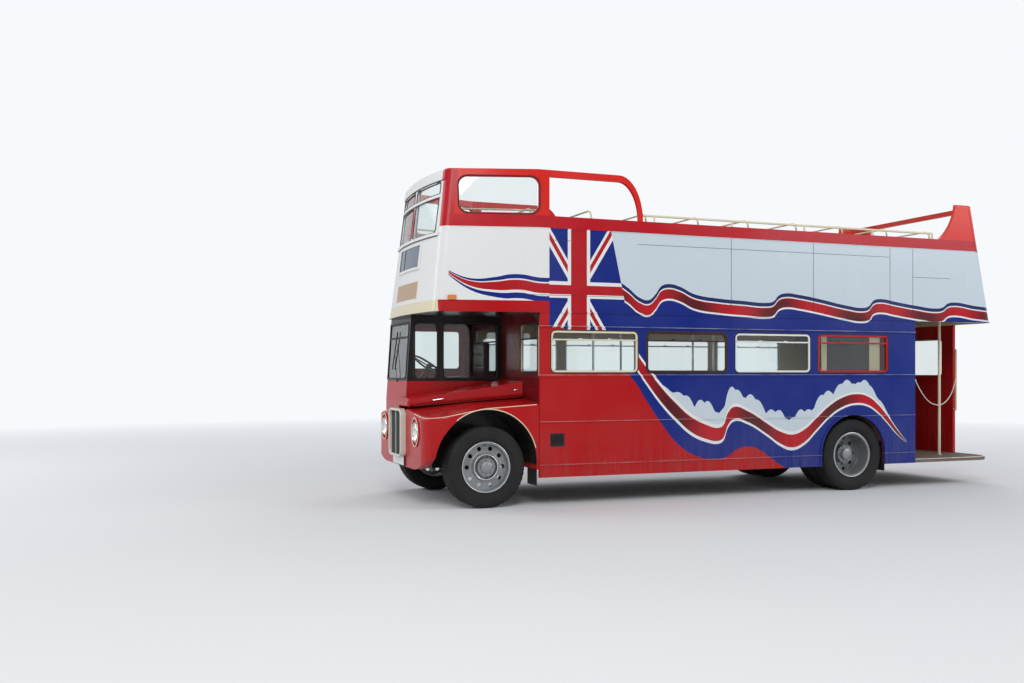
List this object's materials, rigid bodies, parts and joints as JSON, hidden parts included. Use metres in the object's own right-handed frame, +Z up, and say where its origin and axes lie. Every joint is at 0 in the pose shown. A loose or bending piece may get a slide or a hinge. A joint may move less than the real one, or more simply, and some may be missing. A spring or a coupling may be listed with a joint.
{
  "type": "open top double decker bus",
  "caption": "Half cab double decker bus with an open upper deck, an open rear platform, a lifting bonnet, a sliding cab door and steered front wheels.",
  "frame": {"origin": "on the ground, at the middle of the overall length and width", "axes": "+X forward, +Y to the nearside (kerb side), +Z up"},
  "size_m": [8.382, 2.488, 3.9199],
  "materials": {
    "red_paint": "gloss",
    "band_red_paint": "gloss",
    "blue_paint": "gloss",
    "white_paint": "gloss",
    "cream_paint": "gloss",
    "chassis_paint": "matte",
    "wheel_paint": "satin",
    "engine_iron": "matte",
    "aluminium": "satin",
    "chrome": "gloss",
    "tyre_rubber": "matte",
    "flap_rubber": "matte",
    "clear_glass": "gloss",
    "lamp_glass": "gloss",
    "amber_lens": "gloss",
    "black_plastic": "satin",
    "seat_fabric": "matte",
    "floor_boards": "matte",
    "rope_fibre": "matte"
  },
  "bodies": {
    "body": {"underframe": "chassis_paint", "front_suspension": "chassis_paint", "rear_axle": "chassis_paint", "engine_block": "engine_iron", "driveline": "chassis_paint", "fuel_tank": "chassis_paint", "lower_floor": "floor_boards", "platform": "floor_boards", "lower_side_near": "blue_paint", "lower_side_far": "blue_paint", "front_bulkhead": "cream_paint", "lower_rear": "red_paint", "canopy": "red_paint", "upper_floor": "floor_boards", "upper_side_near": "white_paint", "upper_side_far": "white_paint", "upper_front": "white_paint", "upper_rear": "red_paint", "bay_frame_near": "band_red_paint", "bay_frame_far": "band_red_paint", "rear_frame": "band_red_paint", "staircase": "chassis_paint", "handrails": "cream_paint", "stair_guard": "cream_paint", "platform_pole": "cream_paint", "cab_shell": "red_paint", "cab_floor": "chassis_paint", "driver_seat": "seat_fabric", "steering_column": "black_plastic", "near_wing": "red_paint", "cab_front": "red_paint", "headlamps": "lamp_glass", "radiator_grille": "chrome", "window_glass": "clear_glass", "lower_seat_pads": "seat_fabric", "lower_seat_frames": "aluminium", "upper_seat_pads": "seat_fabric", "upper_seat_frames": "aluminium", "marker_lamps": "amber_lens", "mudflaps": "flap_rubber", "destination_box": "black_plastic", "rope_eyes": "cream_paint", "barrier_rope": "rope_fibre"},
    "bonnet": {"bonnet": "red_paint"},
    "cab_door": {"cab_door": "red_paint", "cab_door_glass": "clear_glass"},
    "steering_wheel": {"steering_wheel": "black_plastic"},
    "knuckle_near": {"knuckle_near": "chassis_paint"},
    "knuckle_far": {"knuckle_far": "chassis_paint"},
    "front_wheel_near": {"front_tyre_near": "tyre_rubber", "front_rim_near": "wheel_paint"},
    "front_wheel_far": {"front_tyre_far": "tyre_rubber", "front_rim_far": "wheel_paint"},
    "rear_wheel_near": {"rear_tyres_near": "tyre_rubber", "rear_rims_near": "wheel_paint"},
    "rear_wheel_far": {"rear_tyres_far": "tyre_rubber", "rear_rims_far": "wheel_paint"}
  },
  "joints": [
    {"name": "steer_near", "type": "hinge", "parent": "body", "child": "knuckle_near", "pos_m": [3.391, 0.862, 0.47], "axis": [0, 0, 1], "range_deg": [-35, 35]},
    {"name": "steer_far", "type": "hinge", "parent": "body", "child": "knuckle_far", "pos_m": [3.391, -0.862, 0.47], "axis": [0, 0, 1], "range_deg": [-35, 35]},
    {"name": "steering_wheel_turn", "type": "hinge", "parent": "body", "child": "steering_wheel", "pos_m": [3.56, -0.64, 1.64], "axis": [-0.5736, 0, 0.8192], "range_deg": [-560, 560]},
    {"name": "front_wheel_near_turn", "type": "hinge", "parent": "knuckle_near", "child": "front_wheel_near", "pos_m": [3.391, 1, 0.47], "axis": [0, 1, 0], "continuous": true},
    {"name": "front_wheel_far_turn", "type": "hinge", "parent": "knuckle_far", "child": "front_wheel_far", "pos_m": [3.391, -1, 0.47], "axis": [0, 1, 0], "continuous": true},
    {"name": "rear_wheel_near_turn", "type": "hinge", "parent": "body", "child": "rear_wheel_near", "pos_m": [-1.74, 0.889, 0.47], "axis": [0, 1, 0], "continuous": true},
    {"name": "rear_wheel_far_turn", "type": "hinge", "parent": "body", "child": "rear_wheel_far", "pos_m": [-1.74, -0.889, 0.47], "axis": [0, 1, 0], "continuous": true},
    {"name": "bonnet_lift", "type": "hinge", "parent": "body", "child": "bonnet", "pos_m": [2.776, -0.036, 1.478], "axis": [0.987, 0, -0.161], "range_deg": [0, 60]},
    {"name": "cab_door_slide", "type": "slide", "parent": "body", "child": "cab_door", "axis": [-1, 0, 0], "range_m": [0, 0.7]}
  ],
  "couplings": [
    {"joint": "steer_far", "follows": "steer_near", "ratio": 1},
    {"joint": "steering_wheel_turn", "follows": "steer_near", "ratio": 16}
  ]
}
